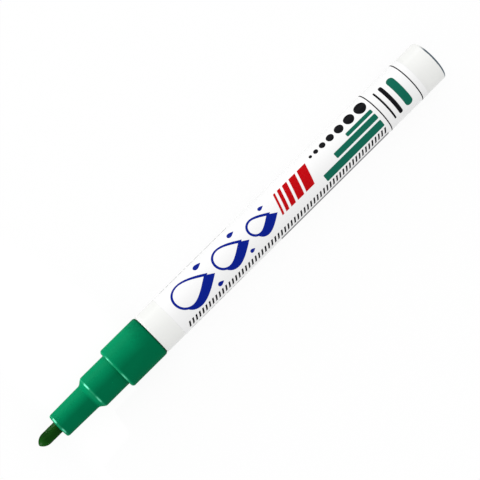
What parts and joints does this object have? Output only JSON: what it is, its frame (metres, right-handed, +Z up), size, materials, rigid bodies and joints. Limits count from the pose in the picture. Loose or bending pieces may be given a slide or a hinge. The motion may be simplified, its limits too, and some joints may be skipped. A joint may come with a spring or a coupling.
{
  "type": "paint marker",
  "caption": "Paint marker: round fibre nib in a stepped plastic nose, spring valve behind it, white metal barrel with a printed film wrap and a loose mixing ball.",
  "frame": {"origin": "on the ground under the middle of the marker's length, with the marker lying on its side", "axes": "+X along the marker from the nib to the tail, +Z up"},
  "size_m": [0.1322, 0.0116, 0.0116],
  "materials": {
    "nib_fibre": "matte",
    "green_plastic": "gloss",
    "white_enamel": "gloss",
    "label_film": "gloss",
    "natural_plastic": "satin",
    "black_rubber": "matte",
    "spring_steel": "satin",
    "ball_steel": "polished"
  },
  "bodies": {
    "body": {"barrel": "white_enamel", "label_wrap": "label_film", "front_section": "green_plastic", "barrel_seal": "black_rubber", "valve_seat": "natural_plastic", "spring_cage": "natural_plastic", "valve_spring": "spring_steel"},
    "nib": {"nib": "nib_fibre", "nib_holder": "natural_plastic"},
    "valve": {"valve_stem": "natural_plastic", "valve_seal": "black_rubber"},
    "ball": {"mixing_ball": "ball_steel"}
  },
  "joints": [
    {"name": "nib_press", "type": "slide", "parent": "body", "child": "nib", "axis": [1, 0, 0], "range_m": [0, 0.0015], "stiffness_N_per_m": 1200, "springref_m": -0.002},
    {"name": "valve_lift", "type": "slide", "parent": "body", "child": "valve", "axis": [1, 0, 0], "range_m": [0, 0.0015], "deforming": ["valve_spring"]},
    {"name": "ball_travel", "type": "slide", "parent": "body", "child": "ball", "axis": [1, 0, 0], "range_m": [-0.0805, 0]}
  ],
  "couplings": [
    {"joint": "valve_lift", "follows": "nib_press", "ratio": 1}
  ]
}
